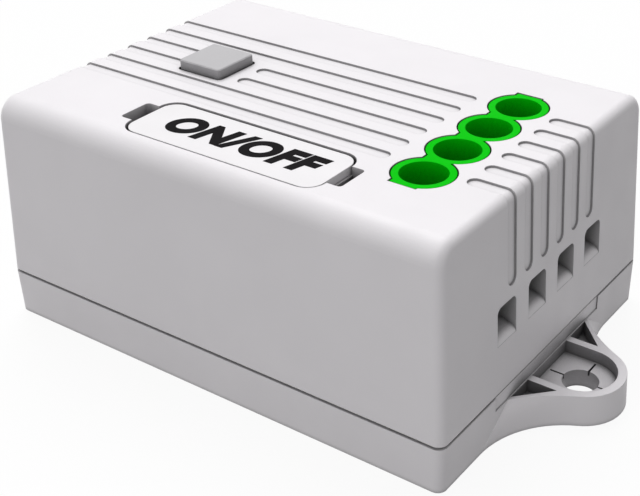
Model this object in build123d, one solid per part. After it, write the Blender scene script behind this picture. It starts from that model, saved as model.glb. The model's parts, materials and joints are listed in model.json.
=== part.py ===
from build123d import *
import os
from math import atan2, degrees, hypot

# A wireless relay switch module: a two-part plastic case with screw ears, a pairing button,
# four screw terminals and the circuit board that they serve. Sizes are in millimetres.
# X runs along the case towards the terminals, Y across it, and Z up from the mounting surface.

# Case
case_length = 48.9
case_width = 35.5
case_height = 22.15
base_height = 4.4
wall = 1.8
top_thickness = 1.8
floor_thickness = 1.6
corner_radius = 0.85
inner_corner = 0.3
long_edge_radius = 2.0
end_taper = 0.87
side_taper = 0.72
base_taper = 0.05
seam_gap = 0.28
skirt_thickness = 0.9
tongue_height = 1.3
tongue_clearance = 0.1
bead_length = 9.0
bead_radius = 0.25
bead_flat_count = 4
bead_clearance = 0.08

# Screw ears
ear_reach = 3.15
ear_foot_radius = 4.13
ear_top_radius = 3.98
ear_height = 3.0
ear_floor = 1.75
ear_rim = 0.8
ear_rib = 0.75
flare_foot_width = 23.4
flare_top_width = 14.8
flare_foot_hollow = 8.8
flare_top_hollow = 16.0
side_pocket_width = 13.8
side_pocket_reach = 2.85
screw_hole_radius = 1.65
slit_width = 0.18
slit_depth = 0.5
end_recess_width = 18.8
end_recess_depth = 0.12

# Grooves in the cover
groove_count = 6
groove_pitch = 2.71
groove_width = 1.35
groove_depth = 0.18
groove_end_inset = 12.36
groove_restart_inset = 4.89
groove_foot = 13.96
groove_button_gap = 1.2

# How far a cut runs past the face that it opens
cut_over = 1

# Flats a turn on what is drawn with flats: the grooves' small round ends, and wires and solder
end_flat_count = 16
wire_flat_count = 6

# Plate let into the top
plate_length = 20.5
plate_width = 6.55
plate_thickness = 0.75
plate_corner = 1.5
plate_gap = 0.25
plate_sink = 0.08
plate_shift = 0.15
plate_inset = 6.09
notch_length = 1.35
notch_width = 3.4
notch_depth = 1.25
notch_corner = 0.35

# Pairing button and the switch under it
button_size = 4.95
button_corner = 0.3
button_edge = 0.1
button_rise = 0.9
button_gap = 0.2
button_inset = 12.04
button_travel = 0.3
button_flange = 0.7
button_flange_height = 0.8
button_stop_gap = 0.06
guide_wall = 0.9
guide_height = 2.0
switch_size = 6.0
switch_height = 3.5
switch_corner = 0.4
switch_plate_thickness = 0.3
plunger_radius = 1.75
plunger_gap = 0.15
plunger_fit = 0.02
socket_depth = 1.4
dome_height = 0.22
dome_thickness = 0.1
dome_slope = 75
dome_gap = 0.05

# Terminals
terminal_count = 4
terminal_pitch = 5.08
terminal_inset = 8.46
collar_radius = 2.66
collar_web = 2.45
collar_web_shift = 0.3
collar_drop = 0.05
collar_gap = 0.13
well_radius = 2.05
block_back_reach = 4.6
block_end_margin = 0.3
block_corner = 0.4
block_gap = 0.4
cell_width = 4.4
cell_back_reach = 3.6
cell_front_reach = 2.2
shoulder_thickness = 0.7
shank_hole_radius = 1.45
wire_slot_width = 3.0
wire_slot_bottom = 9.25
wire_slot_top = 12.8
wire_slot_corner = 0.6
wire_ramp_rise = 1.3
wire_lip = 0.9
wire_room = 2.3
funnel_flare = 0.5
cage_length = 3.8
cage_width = 4.1
cage_side = 0.6
cage_corner = 0.3
cage_top = 1.2
cage_bottom = 0.7
cage_travel = 1.8
cage_gap = 0.1
head_radius = 1.9
head_height = 1.6
head_gap = 0.05
shank_radius = 1.25
thread_gap = 0.04
slot_width = 0.6
slot_depth = 0.8
bar_width = 2.6
bar_thickness = 0.8
bar_pin_width = 1.0
bar_back_gap = 0.2
bar_overhang = 0.1
bar_bend_share = 0.8

# Circuit board and what it carries. The parts on it keep their share of the room between the walls
# and the terminal block, so the sizes below are those in a room of these three sizes.
layout_length = 32.4
layout_width = 28.7
layout_height = 14.2
board_thickness = 1.6
board_gap = 0.4
board_corner = 1.0
edge_rib_reach = 0.9
edge_rib_thickness = 1.0
edge_rib_place = 11.0
end_rib_place = 13.2
hold_down_gap = 0.1
edge_margin = 1.2
part_gap = 0.8
moulded_corner = 0.4
moulded_top_edge = 0.3
lead_radius = 0.35
lead_hole_gap = 0.12
solder_radius = 0.9
solder_tip_radius = 0.45
solder_height = 1.1
relay_width = 10.2
relay_height = 12.5
relay_pin_places = ((-0.43, -0.37), (-0.43, 0.37), (-0.1, 0.37), (0.3, 0.37), (0.43, -0.2))
core_length = 11.4
core_width = 4.8
core_height = 10.0
core_leg = 1.6
bobbin_width = 10.0
bobbin_wall = 0.5
bobbin_bar = 1.6
winding_corner = 0.8
bobbin_pin_places = (-0.28, 0, 0.28)
core_stand = 0.4
core_fit = 0.05
filter_radius = 4.0
filter_height = 12.5
filter_pitch = 3.5
output_radius = 3.15
output_height = 11.0
output_pitch = 2.5
can_crimp = 0.35
film_width = 5.0
film_height = 11.0
film_lead_inset = 1.4
varistor_radius = 2.5
varistor_thickness = 3.2
varistor_lift = 1.0
varistor_pitch = 5.0
fuse_radius = 1.6
fuse_lead_reach = 2.0
inductor_radius = 2.5
inductor_height = 6.0
inductor_rim = 1.0
inductor_waist = 0.3
inductor_pitch = 3.0
radio_length = 13.0
radio_height = 9.5
radio_thickness = 0.8
radio_chip_size = 4.0
radio_chip_thickness = 0.9
crystal_length = 3.2
crystal_height = 2.5
crystal_corner = 0.5
chip_leg_width = 0.4
chip_leg_thickness = 0.3
chip_leg_reach = 0.8
chip_lift = 0.1
chip_gap = 0.35
controller_size = (4.9, 3.9, 1.5)
controller_leg_count = 4
regulator_size = (4.5, 2.5, 1.5)
regulator_leg_count = 3
rectifier_size = (4.7, 3.9, 2.4)
rectifier_leg_count = 2
lamp_size = (1.6, 0.8, 0.7)
antenna_radius = 0.3
antenna_height = 11.2
antenna_length = 9.0
antenna_bend = 1.2

# Places that follow from the sizes above
half_length = case_length / 2
half_width = case_width / 2
cover_height = case_height - base_height
end_lean = end_taper / cover_height
side_lean = side_taper / cover_height
ceiling = case_height - top_thickness
board_length = case_length - 2 * (wall + board_gap)
board_width = case_width - 2 * (wall + board_gap)
board_bottom = base_height
board_top = board_bottom + board_thickness
parts_half_length = board_length / 2 - edge_margin
parts_half_width = board_width / 2 - edge_margin
wall_foot = half_length - base_taper
ear_x = half_length + ear_reach
terminal_x = half_length - terminal_inset
terminal_ys = [(i - (terminal_count - 1) / 2) * terminal_pitch for i in range(terminal_count)]
groove_ys = [(i - (groove_count - 1) / 2) * groove_pitch for i in range(groove_count)]
button_x = button_inset - half_length
button_hole = button_size + 2 * button_gap
block_back = terminal_x - block_back_reach
wire_floor = wire_slot_top - wire_room
bar_top = wire_slot_top + bar_thickness
bar_back = terminal_x - cell_back_reach + bar_back_gap
cage_z = wire_floor - cage_bottom
cage_top_z = bar_top + cage_gap + cage_top
cell_top = cage_top_z + cage_travel + cage_gap
well_floor = cell_top + shoulder_thickness
block_front = half_length - end_lean * (well_floor - base_height) - wall - block_gap
collar_top = case_height - collar_drop
flange_top = ceiling - guide_height - button_stop_gap
plunger_top = flange_top - button_flange_height + socket_depth
plate_y = -half_width + plate_inset
room_length = block_back + parts_half_length
scale_x = room_length / layout_length
scale_y = 2 * parts_half_width / layout_width
scale_z = (ceiling - board_top) / layout_height
scale_round = min(scale_x, scale_y)
core_right = core_length * scale_x - parts_half_length
relay_span = block_back - core_right - 2 * part_gap
relay_x = core_right + part_gap + relay_span / 2
relay_y = parts_half_width - relay_width * scale_y / 2
transformer_x = core_right - core_length * scale_x / 2
transformer_y = parts_half_width - bobbin_width * scale_y / 2
filter_x = filter_radius * scale_round - parts_half_length
filter_y = filter_radius * scale_round - parts_half_width
output_x = filter_x + (filter_radius + output_radius) * scale_round + part_gap
output_y = output_radius * scale_round - parts_half_width
film_left = output_x + output_radius * scale_round + part_gap
film_span = block_back - part_gap - film_left
film_x = film_left + film_span / 2
film_y = film_width * scale_y / 2 - parts_half_width
film_pitch = film_span - 2 * film_lead_inset
inductor_x = film_left
inductor_y = output_y + (output_radius + inductor_radius) * scale_round + part_gap
fuse_left = inductor_x + inductor_radius * scale_round + part_gap + lead_radius
fuse_pitch = block_back - part_gap - lead_radius - fuse_left
fuse_x = fuse_left + fuse_pitch / 2
fuse_y = film_y + (film_width / 2 + fuse_radius) * scale_y + part_gap
varistor_x = block_back - 2 * part_gap - varistor_radius * scale_round
varistor_y = fuse_y + (fuse_radius + varistor_thickness / 2) * scale_y + part_gap
radio_x = relay_x + part_gap
radio_y = relay_y - relay_width * scale_y / 2 - 2 * part_gap
chip_column = button_x - switch_size / 2 - part_gap - controller_size[0] * scale_x / 2
regulator_reach = (regulator_size[1] / 2 + chip_leg_reach) * scale_y
controller_reach = (controller_size[1] / 2 + chip_leg_reach) * scale_y
regulator_y = transformer_y - bobbin_width * scale_y / 2 - chip_gap - regulator_reach
controller_y = regulator_y - regulator_reach - chip_gap - controller_reach
rectifier_x = varistor_x - varistor_radius * scale_round - part_gap - rectifier_size[0] * scale_x / 2


def lead_places():
    """Where each wire lead passes through the board."""
    relay_pins = [(relay_x + relay_span * a, relay_y + relay_width * scale_y * b)
                  for a, b in relay_pin_places]
    transformer_pins = [(transformer_x + core_length * scale_x * a, transformer_y + side * bobbin_pin_reach())
                        for a in bobbin_pin_places for side in (-1, 1)]
    pairs = [(filter_x, filter_y, filter_pitch), (output_x, output_y, output_pitch),
             (film_x, film_y, film_pitch), (fuse_x, fuse_y, fuse_pitch),
             (varistor_x, varistor_y, varistor_pitch), (inductor_x, inductor_y, inductor_pitch)]
    paired = [[(x + side * pitch / 2, y) for side in (-1, 1)] for x, y, pitch in pairs]
    names = ["filter", "output", "film", "fuse", "varistor", "inductor"]
    places = dict(zip(names, paired))
    places["relay"] = relay_pins
    places["transformer"] = transformer_pins
    places["antenna"] = [(radio_x - radio_length * scale_x / 2 - 2 * part_gap, radio_y)]
    return places


def bobbin_pin_reach():
    """How far from the transformer's middle its two rows of pins stand."""
    return bobbin_width * scale_y / 2 - bobbin_bar / 2


def span_box(x0, x1, y0, y1, z0, z1):
    """A box between two corners."""
    return Pos((x0 + x1) / 2, (y0 + y1) / 2, (z0 + z1) / 2) * Box(x1 - x0, y1 - y0, z1 - z0)


def rounded_box(length, width, height, radius, place):
    """A box with rounded upright edges that stands on the given place."""
    return Location(place) * extrude(RectangleRounded(length, width, radius), height)


def drafted_block(length, width, height, lean_x, lean_y, radius, crown=0.0):
    """A block on the ground whose ends and sides lean in by their own slopes.

    The crown is the radius of its two long top edges. The edges round each end face have the other radius.
    """
    across = Polyline((-width / 2, 0), (width / 2, 0), (width / 2 - lean_y * height, height),
                      (lean_y * height - width / 2, height), close=True)
    section = make_face(across)
    if crown:
        section = fillet(section.vertices().sort_by(Axis.Y)[-2:], crown)
    along = Polyline((-length / 2, 0), (length / 2, 0), (length / 2 - lean_x * height, height),
                     (lean_x * height - length / 2, height), close=True)
    block = extrude(Plane.YZ * section, length, both=True) & extrude(Plane.XZ * make_face(along), width, both=True)
    ends = [edge for face in (block.faces().sort_by(Axis.X)[0], block.faces().sort_by(Axis.X)[-1])
            for edge in face.edges()]
    if not crown:
        ends = [edge for edge in ends if abs(edge.tangent_at(0.5).Z) > 0.7]
    return fillet([edge for edge in ends if edge.center().Z > radius / 10], radius)


def cover_form(inset):
    """The cover's outer form, drawn in by an inset on every side and at the top."""
    return Pos(0, 0, base_height) * drafted_block(case_length - 2 * inset, case_width - 2 * inset,
                                                  cover_height - inset, end_lean, side_lean,
                                                  corner_radius - inset, long_edge_radius - inset)


def leads(places, bottom, top, radius=lead_radius):
    """Straight wire leads from one height to another, drawn with a few flats."""
    return [Pos(x, y, bottom) * extrude(RegularPolygon(radius, wire_flat_count), top - bottom) for x, y in places]


# Cover

def groove_outline(length):
    """A groove seen square on: straight sides and small round ends, lying along X."""
    radius = groove_width / 2
    outline = Rectangle(length - groove_width, groove_width)
    for side in (-1, 1):
        outline += Pos(side * (length / 2 - radius), 0) * RegularPolygon(radius, end_flat_count)
    return outline


def groove_prisms(y, x0, x1, foot, side):
    """The space of one groove: along the top from x0 to x1, and down the end face on one side."""
    over = case_height + cut_over
    deep = case_height - corner_radius - end_taper
    length = x1 - x0
    top = Pos((x0 + x1) / 2, y, deep) * extrude(groove_outline(length), over - deep)
    face_x = half_length - corner_radius - end_taper
    outline = Pos(0, (foot + over) / 2) * Rot(0, 0, 90) * groove_outline(over - foot)
    end = Plane(origin=(side * face_x, y, 0), x_dir=(0, 1, 0), z_dir=(1, 0, 0)) * outline
    return top + extrude(end, side * (half_length + cut_over - face_x), dir=(1, 0, 0))


def grooves():
    """All the grooves: long ones over the far end's edge, short ones over the terminal end's."""
    out = half_length + 2 * cut_over
    long_end = half_length - groove_end_inset
    short_start = half_length - groove_restart_inset
    restart = button_x + button_hole / 2 + groove_button_gap
    near_button = button_hole / 2 + groove_width / 2
    spaces = []
    for y in groove_ys:
        if abs(y) < near_button:
            spaces.append(groove_prisms(y, -out, button_x, groove_foot, -1))
            middle = (restart + long_end) / 2
            slot = extrude(groove_outline(long_end - restart), 2 * cut_over)
            spaces.append(Pos(middle, y, case_height - cut_over) * slot)
        else:
            spaces.append(groove_prisms(y, -out, long_end, groove_foot, -1))
        spaces.append(groove_prisms(y, short_start, out, groove_foot, 1))
    core = cover_form(groove_depth)
    return [space - core for space in spaces]


def collar_outline(extra):
    """The merged circles of the screw collars, with the straight web that joins them."""
    radius = collar_radius + extra
    span = (terminal_count - 1) * terminal_pitch + 2 * radius
    outline = Pos(-collar_web_shift, 0) * Rectangle(collar_web + 2 * extra, span)
    for y in terminal_ys:
        outline += Pos(0, y) * Circle(radius)
    return Pos(terminal_x, 0) * outline


def wire_holes():
    """The four wire holes in the end wall, each with a floor that ramps down to a rounded lip."""
    height = wire_slot_top - wire_slot_bottom
    middle = (wire_slot_top + wire_slot_bottom) / 2
    inner = half_length - end_lean * (wire_slot_top - base_height) - wall
    start = inner - cut_over
    profile = Rectangle(wire_slot_width, height)
    profile = fillet(profile.vertices().sort_by(Axis.Y)[-2:], wire_slot_corner)
    lip_z = wire_slot_bottom + wire_lip / 2
    lip = (half_length - end_lean * (lip_z - base_height), lip_z)
    foot = (lip[0] + end_lean * height, lip_z - height)
    sill = make_face(Polyline(lip, (start, wire_slot_bottom + wire_ramp_rise), (start, foot[1]), foot, close=True))
    sill = fillet(sill.vertices().sort_by(Axis.Y)[-2], wire_lip)
    across = Plane.XZ * sill
    cuts = []
    for y in terminal_ys:
        plane = Plane(origin=(start, y, middle), x_dir=(0, 1, 0), z_dir=(1, 0, 0))
        hole = extrude(plane * profile, half_length - start)
        cuts.append(hole - Pos(0, y, 0) * extrude(across, wire_slot_width, both=True))
    return cuts


def plate_recess():
    """The recess for the plate, with a deeper notch at each end."""
    length = plate_length + 2 * plate_gap
    width = plate_width + 2 * plate_gap
    depth = plate_thickness + plate_sink
    radius = plate_corner + plate_gap
    place = (plate_shift, plate_y, case_height - depth)
    recess = rounded_box(length, width, depth + cut_over, radius, place)
    notch = rounded_box(length + 2 * notch_length, notch_width, notch_depth + cut_over, notch_corner,
                        (plate_shift, plate_y, case_height - notch_depth))
    plate_seat = span_box(plate_shift - length / 2, plate_shift + length / 2, plate_y - width, plate_y + width,
                          case_height - notch_depth, case_height - depth)
    return recess + (notch - plate_seat)


def edge_ribs(bottom, top):
    """Upright ribs on the four walls that reach over the board's edge."""
    reach_x = board_length / 2 - edge_rib_reach
    reach_y = board_width / 2 - edge_rib_reach
    out_x = half_length - wall + board_gap
    out_y = half_width - wall + board_gap
    half = edge_rib_thickness / 2
    ribs = []
    for x in (-edge_rib_place, edge_rib_place):
        ribs.append(span_box(x - half, x + half, reach_y, out_y, bottom, top))
        ribs.append(span_box(x - half, x + half, -out_y, -reach_y, bottom, top))
    for y in (-end_rib_place, end_rib_place):
        ribs.append(span_box(reach_x, out_x, y - half, y + half, bottom, top))
        ribs.append(span_box(-out_x, -reach_x, y - half, y + half, bottom, top))
    return ribs


def beads(radius):
    """Snap beads along the middle of each long side, where the tongue meets the skirt."""
    y = half_width - skirt_thickness - tongue_clearance
    z = base_height + tongue_height / 2
    bar = Rot(0, 90, 0) * extrude(RegularPolygon(radius, bead_flat_count), bead_length / 2, both=True)
    return [Pos(x, side * y, z) * bar for x in (-edge_rib_place, edge_rib_place) for side in (-1, 1)]


def make_cover():
    outer = cover_form(0)
    hollow_height = ceiling - base_height
    hollow = drafted_block(case_length - 2 * wall, case_width - 2 * wall, hollow_height,
                           end_lean, side_lean, inner_corner)
    cover = outer - Pos(0, 0, base_height) * hollow
    rebate = rounded_box(case_length - 2 * skirt_thickness, case_width - 2 * skirt_thickness, tongue_height,
                         inner_corner, (0, 0, base_height))
    ribs = [rib & Pos(0, 0, base_height) * hollow for rib in edge_ribs(board_top + hold_down_gap, ceiling)]
    guide_size = button_hole + 2 * guide_wall
    guide = rounded_box(guide_size, guide_size, guide_height, button_corner + guide_wall,
                        (button_x, 0, ceiling - guide_height))
    cover = cover - rebate + ribs + guide
    out_x = half_length + cut_over
    out_y = half_width + cut_over
    cover -= span_box(-out_x, out_x, -out_y, out_y, base_height - cut_over, base_height + seam_gap)
    cover -= beads(bead_radius + bead_clearance)
    cover -= grooves()
    cover -= rounded_box(button_hole, button_hole, case_height, button_corner + button_gap,
                         (button_x, 0, ceiling - guide_height - cut_over))
    cover -= Pos(0, 0, ceiling - cut_over) * extrude(collar_outline(collar_gap), top_thickness + 2 * cut_over)
    cover -= wire_holes()
    return cover - plate_recess()


def make_nameplate():
    return rounded_box(plate_length, plate_width, plate_thickness, plate_corner,
                       (plate_shift, plate_y, case_height - plate_sink - plate_thickness))


# Base

def flare_centre(tip_radius, half, hollow):
    """Middle of the hollow curve that meets the end wall at half and touches the ear's round tip."""
    span = hypot(ear_x - wall_foot, half)
    along = (span ** 2 + hollow ** 2 - (hollow + tip_radius) ** 2) / (2 * span)
    aside = (hollow ** 2 - along ** 2) ** 0.5
    out_x = (ear_x - wall_foot) / span
    out_y = half / span
    return wall_foot + along * out_x + aside * out_y, along * out_y - aside * out_x - half


def ear_outline(tip_radius, half, hollow, height):
    """The ear seen from above: hollow flares from the end wall into a round tip."""
    x, y = flare_centre(tip_radius, half, hollow)
    share = tip_radius / (tip_radius + hollow)
    join = (ear_x + (x - ear_x) * share, y * share)
    wall_end = (wall_foot, -half)
    mid_x = (join[0] + wall_end[0]) / 2 - x
    mid_y = (join[1] + wall_end[1]) / 2 - y
    stretch = hollow / hypot(mid_x, mid_y)
    middle = (x + mid_x * stretch, y + mid_y * stretch)
    mirrored = [(px, -py) for px, py in (wall_end, middle, join)]
    root_x = half_length - wall / 2
    lines = [Line((root_x, half), (root_x, -half)), Line((root_x, -half), wall_end),
             ThreePointArc(wall_end, middle, join),
             ThreePointArc(join, (ear_x + tip_radius, 0), mirrored[2]),
             ThreePointArc(mirrored[2], mirrored[1], mirrored[0]), Line(mirrored[0], (root_x, half))]
    return Pos(0, 0, height) * make_face(lines)


def make_ear():
    """One screw ear: a floor with a hole, a rim wall, two ribs and the pockets between them."""
    foot = ear_outline(ear_foot_radius, flare_foot_width / 2, flare_foot_hollow, 0)
    top = ear_outline(ear_top_radius, flare_top_width / 2, flare_top_hollow, ear_height)
    ear = loft([foot, top], ruled=True)
    pocket_radius = ear_top_radius - ear_rim
    middle = Pos((wall_foot + ear_x) / 2, 0) * Rectangle(ear_x - wall_foot, 2 * pocket_radius)
    pocket = middle + Pos(ear_x, 0) * Circle(pocket_radius)
    rib_outside = pocket_radius + ear_rib
    for side in (-1, 1):
        pocket += make_face(Polyline((wall_foot, side * rib_outside), (wall_foot, side * side_pocket_width / 2),
                                     (wall_foot + side_pocket_reach, side * rib_outside), close=True))
    ear -= Pos(0, 0, ear_floor) * extrude(pocket, ear_height)
    ear -= Pos(ear_x, 0, -cut_over) * extrude(Circle(screw_hole_radius), ear_height + 2 * cut_over)
    slit_reach = pocket_radius - slit_width
    for length, width in ((2 * slit_reach, slit_width), (slit_width, 2 * slit_reach)):
        ear -= Pos(ear_x, 0, ear_floor) * Box(length, width, 2 * slit_depth)
    return ear


def make_base():
    slope = base_taper / base_height
    form = drafted_block(case_length, case_width, base_height, slope, slope, corner_radius)
    tray = Pos(0, 0, base_height) * mirror(form, Plane.XY)
    for side in (-1, 1):
        edges = sorted((side * (half_length - end_recess_depth), side * (half_length + cut_over)))
        tray -= span_box(*edges, -end_recess_width / 2, end_recess_width / 2,
                         ear_height, base_height + cut_over)
    inner = (case_length - 2 * wall, case_width - 2 * wall)
    tongue_edge = skirt_thickness + tongue_clearance
    tongue = rounded_box(case_length - 2 * tongue_edge, case_width - 2 * tongue_edge,
                         base_height + tongue_height - floor_thickness, inner_corner,
                         (0, 0, floor_thickness))
    hollow = rounded_box(*inner, case_height, inner_corner, (0, 0, floor_thickness))
    base = tray + tongue + beads(bead_radius) - hollow + edge_ribs(floor_thickness, board_bottom)
    ear = make_ear()
    return base + ear + mirror(ear, Plane.YZ)


# Button and its switch

def make_button():
    cap_bottom = flange_top - button_flange_height
    cap = rounded_box(button_size, button_size, case_height + button_rise - cap_bottom, button_corner,
                      (button_x, 0, cap_bottom))
    cap = chamfer(cap.faces().sort_by(Axis.Z)[-1].edges(), button_edge)
    flange_size = button_hole + 2 * button_flange
    flange = Pos(button_x, 0, cap_bottom) * extrude(Rectangle(flange_size, flange_size), button_flange_height)
    socket = Pos(button_x, 0, cap_bottom) * extrude(Circle(plunger_radius + plunger_fit), socket_depth)
    return cap + flange - socket


def make_switch():
    """The switch's housing, its steel plate, its plunger and its spring dome."""
    pocket_radius = plunger_radius + plunger_gap
    pocket_floor = board_top + switch_height / 2
    square = Rectangle(switch_size, switch_size)
    square = chamfer(square.vertices(), switch_corner)
    housing = Pos(button_x, 0, board_top) * extrude(square, switch_height)
    housing -= Pos(button_x, 0, pocket_floor) * extrude(Circle(pocket_radius), switch_height)
    plate = Pos(button_x, 0, board_top + switch_height) * extrude(square, switch_plate_thickness)
    plate -= Pos(button_x, 0, board_top) * extrude(Circle(pocket_radius), 2 * switch_height)
    foot = RegularPolygon(pocket_radius - dome_thickness, end_flat_count)
    shell = extrude(foot, dome_height, taper=dome_slope)
    dome = Pos(button_x, 0, pocket_floor) * (shell - Pos(0, 0, -dome_thickness) * shell)
    plunger_bottom = pocket_floor + dome_height + button_travel + dome_gap
    plunger = Pos(button_x, 0, plunger_bottom) * extrude(Circle(plunger_radius), plunger_top - plunger_bottom)
    return {"switch_housing": housing, "switch_plate": plate, "switch_plunger": plunger, "contact_dome": dome}


# Terminals

def make_block():
    """The terminal block: a body with a cell for each pole and a collar up to each screw."""
    half = (terminal_count - 1) / 2 * terminal_pitch + terminal_pitch / 2 + block_end_margin
    block = span_box(block_back, block_front, -half, half, board_top, well_floor)
    block = chamfer(block.edges().filter_by(Axis.Z), block_corner)
    block += Pos(0, 0, well_floor) * extrude(collar_outline(0), collar_top - well_floor)
    front = Plane(origin=(block_front, 0, 0), x_dir=(0, 1, 0), z_dir=(-1, 0, 0))
    for y in terminal_ys:
        at = Pos(terminal_x, y, 0)
        block -= at * span_box(-cell_back_reach, cell_front_reach, -cell_width / 2, cell_width / 2,
                               board_top - cut_over, cell_top)
        shank_hole = extrude(RegularPolygon(shank_hole_radius, end_flat_count), case_height)
        block -= at * Pos(0, 0, cell_top - cut_over) * shank_hole
        block -= at * Pos(0, 0, well_floor) * extrude(Circle(well_radius), case_height)
        block -= span_box(terminal_x, block_front + cut_over, y - wire_slot_width / 2, y + wire_slot_width / 2,
                          wire_floor, wire_slot_top)
        mouth = Pos(-y, (wire_floor + wire_slot_top) / 2) * Rectangle(wire_slot_width + 2 * funnel_flare,
                                                                     wire_room + 2 * funnel_flare)
        block -= extrude(front * mouth, funnel_flare, taper=45)
    return block


def make_screw(y):
    """One clamp screw: a slotted head above its shank, whose tip bears on the contact bar."""
    bottom = well_floor + head_gap
    head = Pos(0, 0, bottom) * extrude(Circle(head_radius), head_height)
    slot = Pos(0, 0, bottom + head_height) * Box(3 * head_radius, slot_width, 2 * slot_depth)
    tip = bar_top + thread_gap
    shank = Pos(0, 0, tip) * extrude(RegularPolygon(shank_radius, end_flat_count), bottom - tip)
    return Pos(terminal_x, y, 0) * (head - slot + shank)


def make_cage(y):
    """One clamp cage: a folded steel frame, open towards the wire, with the screw's thread in its top."""
    half = cage_width / 2
    outside = span_box(-cage_length / 2, cage_length / 2, -half, half, cage_z, cage_top_z)
    outside = chamfer(outside.edges().filter_by(Axis.X), cage_corner)
    window = span_box(-cage_length, cage_length, cage_side - half, half - cage_side,
                      wire_floor, bar_top + cage_gap)
    thread = Pos(0, 0, bar_top) * extrude(Circle(shank_radius + thread_gap), case_height)
    return Pos(terminal_x, y, 0) * (outside - window - thread)


def make_bar(y):
    """One contact bar: a tongue through the cage, a leg down to the board and a solder pin."""
    front = terminal_x + cage_length / 2 + bar_overhang
    half = bar_width / 2
    half_pin = bar_pin_width / 2
    tongue = span_box(bar_back, front, y - half, y + half, wire_slot_top, bar_top)
    leg = span_box(bar_back, bar_back + bar_thickness, y - half, y + half, board_top, bar_top)
    pin = span_box(bar_back, bar_back + bar_thickness, y - half_pin, y + half_pin, board_bottom, board_top)
    bar = tongue + leg
    bend = bar.edges().filter_by(Axis.Y).group_by(Axis.X)[0].sort_by(Axis.Z)[-1]
    return fillet(bend, bar_thickness * bar_bend_share) + pin


def bar_pin_places():
    return [(bar_back + bar_thickness / 2, y) for y in terminal_ys]


# Circuit board and its parts

def make_board(places):
    board = rounded_box(board_length, board_width, board_thickness, board_corner, (0, 0, board_bottom))
    pin_radius = hypot(bar_thickness, bar_pin_width) / 2
    holes = leads(bar_pin_places(), 0, case_height, pin_radius + lead_hole_gap)
    for group in places.values():
        holes += leads(group, 0, case_height, lead_radius + lead_hole_gap)
    return board - holes


def make_solder(places):
    """The solder cones on the board's underside, one to a lead."""
    spots = bar_pin_places() + [spot for group in places.values() for spot in group]
    slope = degrees(atan2(solder_radius - solder_tip_radius, solder_height))
    cone = Rot(180, 0, 0) * extrude(RegularPolygon(solder_radius, wire_flat_count), solder_height, taper=slope)
    return Compound(children=[Pos(x, y, board_bottom) * cone for x, y in spots])


def eased_block(length, width, height, x, y):
    """A moulded box on the board with its upright and top edges eased."""
    block = Pos(x, y, board_top + height / 2) * Box(length, width, height)
    block = chamfer(block.edges().filter_by(Axis.Z), moulded_corner)
    return chamfer(block.faces().sort_by(Axis.Z)[-1].edges(), moulded_top_edge)


def make_relay(pins):
    body = eased_block(relay_span, relay_width * scale_y, relay_height * scale_z, relay_x, relay_y)
    return body + leads(pins, board_bottom, board_top)


def make_transformer(pins):
    """An E-core transformer: its ferrite core, its bobbin and its taped winding."""
    at = Pos(transformer_x, transformer_y, board_top)
    half_length = core_length * scale_x / 2
    height = core_height * scale_z
    window = half_length - core_leg
    half_core = core_width * scale_y / 2
    core = span_box(-half_length, half_length, -half_core, half_core, core_stand, height)
    for side in (-1, 1):
        edges = sorted((side * core_leg, side * window))
        core -= span_box(*edges, -core_width, core_width, core_stand + core_leg, height - core_leg)
    hole_x = core_leg + core_fit
    hole_y = half_core + core_fit
    tube_x = hole_x + bobbin_wall
    tube_y = hole_y + bobbin_wall
    low = core_stand + core_leg + core_fit
    high = height - core_leg - core_fit
    flange_x = window - core_fit
    flange_y = bobbin_width * scale_y / 2
    bobbin = span_box(-tube_x, tube_x, -tube_y, tube_y, low, high)
    for z in (low, high - bobbin_wall):
        bobbin += span_box(-flange_x, flange_x, -flange_y, flange_y, z, z + bobbin_wall)
    for side in (-1, 1):
        edges = sorted((side * (flange_y - bobbin_bar), side * flange_y))
        bobbin += span_box(-flange_x, flange_x, *edges, 0, low)
    bobbin -= span_box(-hole_x, hole_x, -hole_y, hole_y, 0, height)
    wound_x = flange_x - core_fit
    wound_y = flange_y - bobbin_wall
    winding = span_box(-wound_x, wound_x, -wound_y, wound_y, low + bobbin_wall, high - bobbin_wall)
    winding = chamfer(winding.edges().filter_by(Axis.Z), winding_corner)
    winding -= span_box(-tube_x, tube_x, -tube_y, tube_y, 0, height)
    bobbin = at * bobbin + leads(pins, board_bottom, board_top)
    return {"transformer_core": at * core, "transformer_bobbin": bobbin, "transformer_winding": at * winding}


def make_can(x, y, full_radius, full_height, pins):
    """An electrolytic capacitor: a sleeved can with a crimp near its foot."""
    radius = full_radius * scale_round
    height = full_height * scale_z
    neck = radius - can_crimp
    outline = Polyline((0, 0), (neck, 0), (neck, 2 * can_crimp), (radius, 3 * can_crimp),
                       (radius, height), (0, height), close=True)
    can = revolve(Plane.XZ * make_face(outline), Axis.Z)
    return Pos(x, y, board_top) * can + leads(pins, board_bottom, board_top)


def make_film(pins):
    block = eased_block(film_span, film_width * scale_y, film_height * scale_z, film_x, film_y)
    return block + leads(pins, board_bottom, board_top)


def make_varistor(pins):
    radius = varistor_radius * scale_round
    middle = board_top + varistor_lift + radius
    disc = Pos(varistor_x, varistor_y, middle) * Rot(90, 0, 0) * Cylinder(radius, varistor_thickness * scale_y)
    return disc + leads(pins, board_bottom, middle)


def make_fuse(pins):
    """A fusible resistor lying along the board."""
    radius = fuse_radius * scale_y
    lift = board_top + radius + chip_lift
    body = Pos(fuse_x, fuse_y, lift) * Rot(0, 90, 0) * Cylinder(radius, fuse_pitch - 2 * fuse_lead_reach)
    wire = extrude(RegularPolygon(lead_radius, wire_flat_count), fuse_pitch / 2 + lead_radius / 2, both=True)
    cross = Pos(fuse_x, fuse_y, lift) * Rot(0, 90, 0) * wire
    return body + cross + leads(pins, board_bottom, lift)


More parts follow.
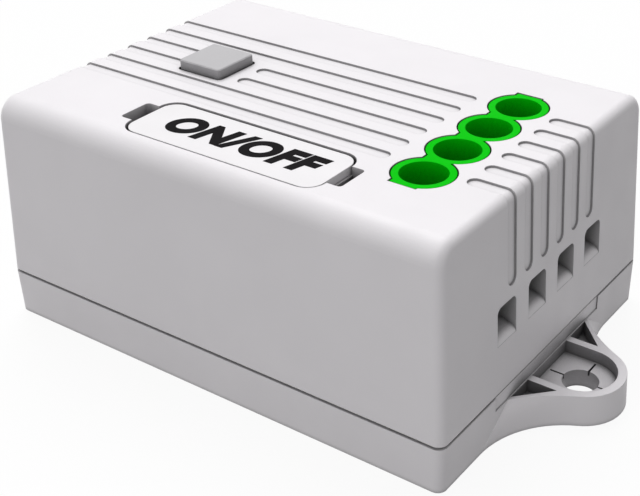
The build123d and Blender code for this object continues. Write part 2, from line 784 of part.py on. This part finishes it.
def make_inductor(pins):
    """A drum-core choke: two flanges with the winding between them."""
    radius = inductor_radius * scale_round
    flange = RegularPolygon(radius, end_flat_count)
    waist = RegularPolygon(radius - inductor_waist, end_flat_count)
    drum = extrude(flange, inductor_rim) + extrude(waist, inductor_height)
    drum += Pos(0, 0, inductor_height - inductor_rim) * extrude(flange, inductor_rim)
    return Pos(inductor_x, inductor_y, board_top) * drum + leads(pins, board_bottom, board_top)


def chip(x, y, size, legs):
    """A flat chip on the board with legs along its two long sides."""
    length = size[0] * scale_x
    width = size[1] * scale_y
    height = size[2] * scale_z
    body = Pos(x, y, board_top + chip_lift + height / 2) * Box(length, width, height)
    reach = width / 2 + chip_leg_reach * scale_y
    for i in range(legs):
        leg_x = x + (i - (legs - 1) / 2) * length / legs
        body += span_box(leg_x - chip_leg_width / 2, leg_x + chip_leg_width / 2, y - reach, y + reach,
                         board_top, board_top + chip_leg_thickness)
    return body


def make_radio():
    """The radio's small upright board with its chip and crystal can."""
    half = radio_length * scale_x / 2
    front = radio_y - radio_thickness / 2
    board = span_box(radio_x - half, radio_x + half, front, front + radio_thickness,
                     board_top, board_top + radio_height * scale_z)
    middle = (front - radio_chip_thickness / 2, board_top + radio_height * scale_z / 2)
    square = Pos(radio_x - half / 2, *middle) * Box(radio_chip_size, radio_chip_thickness, radio_chip_size)
    can = Pos(radio_x + half / 2, *middle) * Box(crystal_length, radio_chip_thickness, crystal_height)
    can = chamfer(can.edges().filter_by(Axis.Y), crystal_corner)
    return {"radio_board": board, "radio_chip": square, "crystal_can": can}


def make_antenna(pin):
    """The aerial: a stiff wire that rises from the board and bends over it."""
    x, y = pin
    high = board_top + antenna_height * scale_z
    end = (x, y - antenna_length * scale_y, high)
    path = FilletPolyline((x, y, board_bottom), (x, y, high), end, radius=antenna_bend)
    return sweep(Plane(origin=(x, y, board_bottom)) * RegularPolygon(antenna_radius, wire_flat_count), path)


def make_pieces():
    places = lead_places()
    pieces = {"top_cover": make_cover(), "base": make_base(), "nameplate": make_nameplate(),
              "push_button": make_button(), "terminal_block": make_block()}
    pieces.update(make_switch())
    for number, y in enumerate(terminal_ys, 1):
        pieces[f"terminal_screw_{number}"] = make_screw(y)
        pieces[f"clamp_cage_{number}"] = make_cage(y)
        pieces[f"contact_bar_{number}"] = make_bar(y)
    pieces["circuit_board"] = make_board(places)
    pieces["solder_joints"] = make_solder(places)
    pieces["relay"] = make_relay(places["relay"])
    pieces.update(make_transformer(places["transformer"]))
    pieces["filter_capacitor"] = make_can(filter_x, filter_y, filter_radius, filter_height, places["filter"])
    pieces["output_capacitor"] = make_can(output_x, output_y, output_radius, output_height, places["output"])
    pieces["film_capacitor"] = make_film(places["film"])
    pieces["varistor"] = make_varistor(places["varistor"])
    pieces["fuse_resistor"] = make_fuse(places["fuse"])
    pieces["inductor"] = make_inductor(places["inductor"])
    pieces["controller_chip"] = chip(chip_column, controller_y, controller_size, controller_leg_count)
    pieces["voltage_regulator"] = chip(chip_column, regulator_y, regulator_size, regulator_leg_count)
    pieces["bridge_rectifier"] = chip(rectifier_x, varistor_y, rectifier_size, rectifier_leg_count)
    lamp_y = -switch_size / 2 - part_gap - lamp_size[1] / 2
    pieces["status_led"] = Pos(button_x, lamp_y, board_top + lamp_size[2] / 2) * Box(*lamp_size)
    pieces.update(make_radio())
    pieces["antenna_wire"] = make_antenna(places["antenna"][0])
    return pieces


os.makedirs("parts", exist_ok=True)
for name, piece in make_pieces().items():
    export_step(piece, f"parts/{name}.step")
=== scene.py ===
import json
from math import radians

import bpy
from mathutils import Euler, Matrix, Vector


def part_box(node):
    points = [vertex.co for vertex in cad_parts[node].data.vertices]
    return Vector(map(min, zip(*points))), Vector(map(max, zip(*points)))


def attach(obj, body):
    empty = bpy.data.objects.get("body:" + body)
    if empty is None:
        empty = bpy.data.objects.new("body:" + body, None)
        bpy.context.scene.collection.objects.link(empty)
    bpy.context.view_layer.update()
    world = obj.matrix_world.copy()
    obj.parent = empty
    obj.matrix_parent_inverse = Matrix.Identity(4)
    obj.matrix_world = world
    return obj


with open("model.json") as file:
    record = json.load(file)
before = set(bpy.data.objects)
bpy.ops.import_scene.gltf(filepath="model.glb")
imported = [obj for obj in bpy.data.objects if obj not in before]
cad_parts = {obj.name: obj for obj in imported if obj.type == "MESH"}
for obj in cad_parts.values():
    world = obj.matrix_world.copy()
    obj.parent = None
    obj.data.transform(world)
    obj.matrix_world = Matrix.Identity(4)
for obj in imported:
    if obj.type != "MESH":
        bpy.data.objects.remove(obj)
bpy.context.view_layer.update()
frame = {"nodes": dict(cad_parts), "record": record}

# Dresses the relay switch module: materials on every CAD piece, the lettering on its plate,
# and the light, floor and camera of the photograph. Lengths are in metres, angles in degrees.

NODES = frame["nodes"]

# Camera, fitted to the photograph, with its lens in millimetres
CAMERA_PLACE = (0.0636091, -0.0811207, 0.0669097)
CAMERA_TURN = (59.2428, -0.1362, 33.731)
CAMERA_NEAR = 0.005
SENSOR_WIDTH = 36
LENS = 69.561
SHIFT = (-0.140714, 0.006243)

# Light
WORLD_LIGHT = 0.43
LAMPS = {
    "key": {"from": (-0.42, 0.45, 1.0), "strength": 1.80, "angle": 40},
    "front": {"from": (-0.1, -1.0, 0.3), "strength": 0.76, "angle": 70},
}

# Floor
FLOOR_REACH = 3.0
FLOOR_DROP = 0.00002
FLOOR_SEEN = 0.96
FLOOR_LIT = 0.22
FLOOR_GLOW = 0.91
FLOOR_ROUGHNESS = 0.8
FLOOR_SHINE = 0.1

# Lettering on the plate
PRINT_WORDS = "ON/OFF"
PRINT_SIZE = 0.0040
PRINT_SLANT = 0.25
PRINT_BOLDNESS = 0.00024
PRINT_SPACING = 1.1
PRINT_THICKNESS = 0.00002

# How surfaces wander: the size of a patch, and the range that a noise mostly keeps to
NOISE_MIDDLE = (0.3, 0.7)
SHADE_PATCH = 0.009
GLOSS_PATCH = 0.0025
METAL_PATCH = 0.0012
METAL_DULLEST = 0.82
PLASTIC_GLOSS = (-0.05, 0.06)
METAL_GLOSS = (-0.08, 0.1)
PATCH_DETAIL = 3.0
GRAIN_DETAIL = 2.0
DRAWN_DETAIL = 4.0
DRAWN_STRETCH = (1, 1, 0.15)
CORNER_SAMPLES = 8
EDGE_SAMPLES = 6

# Painted shade darkens plastics in their corners: how far each corner looks, how dark the painted shade gets,
# and over which span
FINE_CORNER_SHADE = {"reach": 0.0005, "darkest": 0.45, "span": (0.3, 0.95)}
WIDE_CORNER_SHADE = {"reach": 0.006, "darkest": 0.06, "span": (0.06, 0.9)}
# On the base the painted shade looks only at the base itself and bends downwards, so walls rising from the
# ear floors come out darkest
EAR_CORNER_SHADE = {"reach": 0.006, "darkest": 0.16, "span": (0.16, 0.66), "alone": True, "droop": 0.8}
PLATE_CORNER_SHADE = {"reach": 0.0008, "darkest": 0.8, "span": (0.1, 0.85)}
BUTTON_CORNER_SHADE = {"reach": 0.003, "darkest": 0.2, "span": (0.34, 0.94)}
BLOCK_CORNER_SHADE = {"reach": 0.004, "darkest": 0.36, "span": (0.1, 0.85)}

# Looks of the materials: grain is the size of the surface's grains, depth their height
CASE_LOOK = {"colour": (0.87, 0.845, 0.872), "rough": 0.52, "grain": 0.00022, "depth": 0.000006,
             "edge": 0.0001}
PLASTICS = {
    # The case and the base share one white, and differ only in the painted shade in their corners
    "white_case": CASE_LOOK | {"corners": (FINE_CORNER_SHADE, WIDE_CORNER_SHADE)},
    "white_base_shaded": CASE_LOOK | {"corners": (FINE_CORNER_SHADE, EAR_CORNER_SHADE)},
    "white_plate": {"colour": (0.88, 0.86, 0.88), "rough": 0.34, "grain": 0.0004, "depth": 0.000003,
                    "edge": 0.00012, "coat": 0.2, "corners": (PLATE_CORNER_SHADE,)},
    "grey_button": {"colour": (0.51, 0.50, 0.515), "rough": 0.5, "grain": 0.0002, "depth": 0.000006,
                    "edge": 0.00012, "corners": (BUTTON_CORNER_SHADE,), "shine": 0.3},
    "green_block": {"colour": (0.0, 0.62, 0.003), "rough": 0.5, "grain": 0.0004, "depth": 0.000004,
                    "corners": (BLOCK_CORNER_SHADE,), "shine": 0.02},
    "print_ink": {"colour": (0.008, 0.007, 0.008), "rough": 0.6, "grain": 0.0002, "depth": 0.000002,
                  "shine": 0.02},
    "board_laminate": {"colour": (0.02, 0.17, 0.06), "rough": 0.4, "grain": 0.0003, "depth": 0.000006},
    "relay_case": {"colour": (0.045, 0.045, 0.05), "rough": 0.45, "grain": 0.0002, "depth": 0.000008},
    "ferrite": {"colour": (0.07, 0.07, 0.075), "rough": 0.6, "grain": 0.0002, "depth": 0.000014,
                "variation": 0.2},
    "black_moulding": {"colour": (0.02, 0.02, 0.022), "rough": 0.45, "grain": 0.0002, "depth": 0.000006},
    "yellow_tape": {"colour": (0.80, 0.60, 0.06), "rough": 0.3, "grain": 0.0008, "depth": 0.00001,
                    "variation": 0.1},
    "can_sleeve": {"colour": (0.03, 0.035, 0.07), "rough": 0.28, "grain": 0.0006, "depth": 0.000004},
    "yellow_block": {"colour": (0.80, 0.62, 0.10), "rough": 0.35, "grain": 0.0003, "depth": 0.000006},
    "blue_coating": {"colour": (0.03, 0.09, 0.45), "rough": 0.3, "grain": 0.0009, "depth": 0.00002,
                     "variation": 0.12},
    "grey_ceramic": {"colour": (0.34, 0.44, 0.42), "rough": 0.5, "grain": 0.0002, "depth": 0.00001,
                     "variation": 0.1},
    "chip_resin": {"colour": (0.03, 0.03, 0.033), "rough": 0.55, "grain": 0.00012, "depth": 0.000006,
                   "variation": 0.15},
    "lamp_lens": {"colour": (0.85, 0.83, 0.70), "rough": 0.25, "grain": 0.0004, "depth": 0.000004},
}
METALS = {
    "solder": {"colour": (0.80, 0.80, 0.82), "rough": 0.28, "grain": 0.0003, "depth": 0.000004},
    "steel": {"colour": (0.62, 0.62, 0.63), "rough": 0.34, "grain": 0.00012, "depth": 0.000003},
    "plated_screw": {"colour": (0.70, 0.69, 0.66), "rough": 0.3, "grain": 0.00012, "depth": 0.000003},
    "tinned_copper": {"colour": (0.78, 0.78, 0.77), "rough": 0.3, "grain": 0.0002, "depth": 0.000003},
    "copper_wire": {"colour": (0.80, 0.42, 0.25), "rough": 0.3, "grain": 0.0002, "depth": 0.000003},
}


def link(obj):
    bpy.context.scene.collection.objects.link(obj)
    return obj


# Materials

class Shader:
    """A Principled material with room for texture nodes."""

    def __init__(self, name):
        self.material = bpy.data.materials.new(name)
        self.material.use_nodes = True
        self.tree = self.material.node_tree
        self.surface = self.tree.nodes["Principled BSDF"]
        self.place = self.add("ShaderNodeTexCoord").outputs["Object"]

    def add(self, kind, **settings):
        node = self.tree.nodes.new(kind)
        for key, value in settings.items():
            setattr(node, key, value)
        return node

    def put(self, node, **values):
        """Sets a node's inputs, each to a value or to another node's output."""
        for key, value in values.items():
            socket = node.inputs[key.replace("_", " ")]
            if isinstance(value, bpy.types.NodeSocket):
                self.tree.links.new(value, socket)
            else:
                socket.default_value = value
        return node

    def noise(self, size, detail=PATCH_DETAIL, vector=None):
        """A noise whose grains are about that size."""
        node = self.add("ShaderNodeTexNoise")
        self.put(node, Scale=1 / size, Detail=detail, Vector=vector or self.place)
        return node.outputs["Fac"]

    def spread(self, value, low, high):
        """Maps a noise's middle values onto low to high."""
        start, end = NOISE_MIDDLE
        node = self.add("ShaderNodeMapRange")
        self.put(node, Value=value, From_Min=start, From_Max=end, To_Min=low, To_Max=high)
        return node.outputs["Result"]

    def shades(self, value, first, second):
        """A colour that wanders between two close shades."""
        node = self.add("ShaderNodeMix", data_type="RGBA")
        colours = [socket for socket in node.inputs if socket.type == "RGBA"]
        colours[0].default_value = (*first, 1)
        colours[1].default_value = (*second, 1)
        self.put(node, Factor=self.spread(value, 0, 1))
        return [socket for socket in node.outputs if socket.type == "RGBA"][0]

    def bump(self, height, depth, normal):
        node = self.put(self.add("ShaderNodeBump"), Distance=depth, Height=height, Normal=normal)
        return node.outputs["Normal"]

    def drooped_normal(self, droop):
        """The way that the surface faces, bent down."""
        bent = self.add("ShaderNodeVectorMath", operation="ADD")
        self.put(bent, Vector=self.add("ShaderNodeNewGeometry").outputs["Normal"])
        bent.inputs[1].default_value = (0, 0, -droop)
        unit = self.add("ShaderNodeVectorMath", operation="NORMALIZE")
        return self.put(unit, Vector=bent.outputs["Vector"]).outputs["Vector"]

    def paint_corner_shade(self, colour, corner):
        """The colour with painted shade: darkened where other surfaces crowd in closer than the corner's
        reach.

        A corner with a droop looks lower than straight out, so walls that rise from a floor get the most
        painted shade.
        """
        alone = corner.get("alone", False)
        hollow = self.add("ShaderNodeAmbientOcclusion", samples=CORNER_SAMPLES, only_local=alone)
        self.put(hollow, Distance=corner["reach"])
        if "droop" in corner:
            self.put(hollow, Normal=self.drooped_normal(corner["droop"]))
        low, high = corner["span"]
        tone = self.add("ShaderNodeMapRange")
        self.put(tone, Value=hollow.outputs["AO"], From_Min=low, From_Max=high, To_Min=corner["darkest"])
        # painted shade: the colour is scaled down by the occlusion's tone
        shaded_colour = self.add("ShaderNodeVectorMath", operation="SCALE")
        self.put(shaded_colour, Vector=colour, Scale=tone.outputs["Result"])
        return shaded_colour.outputs["Vector"]

    def eased_edges(self, radius):
        return self.put(self.add("ShaderNodeBevel", samples=EDGE_SAMPLES), Radius=radius).outputs["Normal"]


def scaled(colour, factor):
    return tuple(min(1.0, c * factor) for c in colour)


def plastic(name, colour, rough, grain, depth, edge=0.00008, coat=0.0, variation=0.03, corners=(), shine=0.5):
    """Moulded plastic: fine grain, slight random wander in tone and gloss, softened edges and painted shade
    in the corners.
    """
    s = Shader(name)
    base = s.shades(s.noise(SHADE_PATCH), scaled(colour, 1 - variation), colour)
    # painted shade: each corner entry darkens the colour where surfaces crowd in
    for corner in corners:
        base = s.paint_corner_shade(base, corner)
    gloss = s.spread(s.noise(GLOSS_PATCH), rough + PLASTIC_GLOSS[0], rough + PLASTIC_GLOSS[1])
    normal = s.bump(s.noise(grain, GRAIN_DETAIL), depth, s.eased_edges(edge))
    s.put(s.surface, Base_Color=base, Roughness=gloss, Normal=normal)
    s.surface.inputs["Coat Weight"].default_value = coat
    s.surface.inputs["Specular IOR Level"].default_value = shine
    return s.material


def metal(name, colour, rough, grain, depth, edge=0.00006):
    """Plated metal with a fine drawn grain and a little dullness."""
    s = Shader(name)
    stretched = s.put(s.add("ShaderNodeMapping"), Vector=s.place, Scale=DRAWN_STRETCH).outputs["Vector"]
    lines = s.noise(grain, DRAWN_DETAIL, stretched)
    base = s.shades(s.noise(METAL_PATCH), scaled(colour, METAL_DULLEST), colour)
    gloss = s.spread(lines, rough + METAL_GLOSS[0], rough + METAL_GLOSS[1])
    normal = s.bump(lines, depth, s.eased_edges(edge))
    s.put(s.surface, Base_Color=base, Roughness=gloss, Normal=normal)
    s.surface.inputs["Metallic"].default_value = 1.0
    return s.material


def make_materials():
    made = {name: plastic(name, **look) for name, look in PLASTICS.items()}
    made.update({name: metal(name, **look) for name, look in METALS.items()})
    return made


def dress_nodes(materials):
    """Gives every CAD piece the material of its slot, and the base a copy of the case white that differs only
    in its painted shade.
    """
    slots = {part["node"]: part["material_slot"] for part in frame["record"]["subparts"]}
    # the base takes the copy of the case white with its own painted shade under the ears
    slots["base"] = "white_base_shaded"
    for name, obj in NODES.items():
        obj.data.materials.clear()
        obj.data.materials.append(materials[slots[name]])


# Lettering on the plate

def print_plate(materials):
    """Plain lettering, printed in the middle of the plate."""
    low, high = (Vector(corner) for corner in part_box("nameplate"))
    text = bpy.data.curves.new("plate_print", "FONT")
    text.body = PRINT_WORDS
    text.align_x = text.align_y = "CENTER"
    text.size = PRINT_SIZE
    text.shear = PRINT_SLANT
    text.offset = PRINT_BOLDNESS
    text.extrude = PRINT_THICKNESS / 2
    text.space_character = PRINT_SPACING
    draft = bpy.data.objects.new("plate_print_draft", text)
    mesh = bpy.data.meshes.new_from_object(link(draft))
    bpy.data.objects.remove(draft)
    piece = link(bpy.data.objects.new("plate_print", mesh))
    piece.location = ((low.x + high.x) / 2, (low.y + high.y) / 2, high.z + PRINT_THICKNESS / 2)
    mesh.materials.clear()
    mesh.materials.append(materials["print_ink"])
    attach(piece, "case")


# Camera, light and floor

def make_camera():
    data = bpy.data.cameras.new("camera")
    data.sensor_width = SENSOR_WIDTH
    data.lens = LENS
    data.shift_x, data.shift_y = SHIFT
    data.clip_start = CAMERA_NEAR
    camera = link(bpy.data.objects.new("camera", data))
    turn = Euler([radians(angle) for angle in CAMERA_TURN]).to_matrix().to_4x4()
    camera.matrix_world = Matrix.Translation(CAMERA_PLACE) @ turn
    bpy.context.scene.camera = camera


def make_lamps():
    for name, lamp in LAMPS.items():
        data = bpy.data.lights.new(name, "SUN")
        data.energy = lamp["strength"]
        data.angle = radians(lamp["angle"])
        obj = link(bpy.data.objects.new(name, data))
        obj.rotation_mode = "QUATERNION"
        obj.rotation_quaternion = Vector(lamp["from"]).to_track_quat("Z", "Y")


def is_shown(tree):
    """1 for rays that see the background directly, in a mirror or through glass."""
    path = tree.nodes.new("ShaderNodeLightPath")
    total = path.outputs["Is Camera Ray"]
    for output in ("Is Glossy Ray", "Is Transmission Ray"):
        node = tree.nodes.new("ShaderNodeMath")
        node.operation = "MAXIMUM"
        tree.links.new(total, node.inputs[0])
        tree.links.new(path.outputs[output], node.inputs[1])
        total = node.outputs[0]
    return total


def make_world():
    """An even light that looks pure white where it is seen."""
    world = bpy.data.worlds.new("world")
    bpy.context.scene.world = world
    world.use_nodes = True
    tree = world.node_tree
    background = tree.nodes["Background"]
    background.inputs["Color"].default_value = (1, 1, 1, 1)
    strength = tree.nodes.new("ShaderNodeMapRange")
    strength.inputs["To Min"].default_value = WORLD_LIGHT
    strength.inputs["To Max"].default_value = 1.0
    tree.links.new(is_shown(tree), strength.inputs["Value"])
    tree.links.new(strength.outputs["Result"], background.inputs["Strength"])


def floor_material():
    """White where it is seen, with its shadow kept, and darker in the light that it throws back."""
    material = bpy.data.materials.new("floor")
    material.use_nodes = True
    tree = material.node_tree
    surface = tree.nodes["Principled BSDF"]
    surface.inputs["Roughness"].default_value = FLOOR_ROUGHNESS
    surface.inputs["Specular IOR Level"].default_value = FLOOR_SHINE
    shown = is_shown(tree)
    tone = tree.nodes.new("ShaderNodeMapRange")
    tone.inputs["To Min"].default_value = FLOOR_LIT
    tone.inputs["To Max"].default_value = FLOOR_SEEN
    tree.links.new(shown, tone.inputs["Value"])
    tree.links.new(tone.outputs["Result"], surface.inputs["Base Color"])
    share = tree.nodes.new("ShaderNodeMath")
    share.operation = "MULTIPLY"
    share.inputs[1].default_value = FLOOR_GLOW
    tree.links.new(shown, share.inputs[0])
    white = tree.nodes.new("ShaderNodeEmission")
    mix = tree.nodes.new("ShaderNodeMixShader")
    tree.links.new(share.outputs[0], mix.inputs["Fac"])
    tree.links.new(surface.outputs["BSDF"], mix.inputs[1])
    tree.links.new(white.outputs["Emission"], mix.inputs[2])
    tree.links.new(mix.outputs["Shader"], tree.nodes["Material Output"].inputs["Surface"])
    return material


def make_floor():
    reach = FLOOR_REACH
    corners = [(-reach, -reach, 0), (reach, -reach, 0), (reach, reach, 0), (-reach, reach, 0)]
    mesh = bpy.data.meshes.new("floor")
    mesh.from_pydata(corners, [], [(0, 1, 2, 3)])
    floor = link(bpy.data.objects.new("floor", mesh))
    floor.location.z = -FLOOR_DROP
    mesh.materials.append(floor_material())


bpy.context.scene.view_settings.view_transform = "Standard"
make_camera()
make_lamps()
make_world()
make_floor()
materials = make_materials()
dress_nodes(materials)
print_plate(materials)
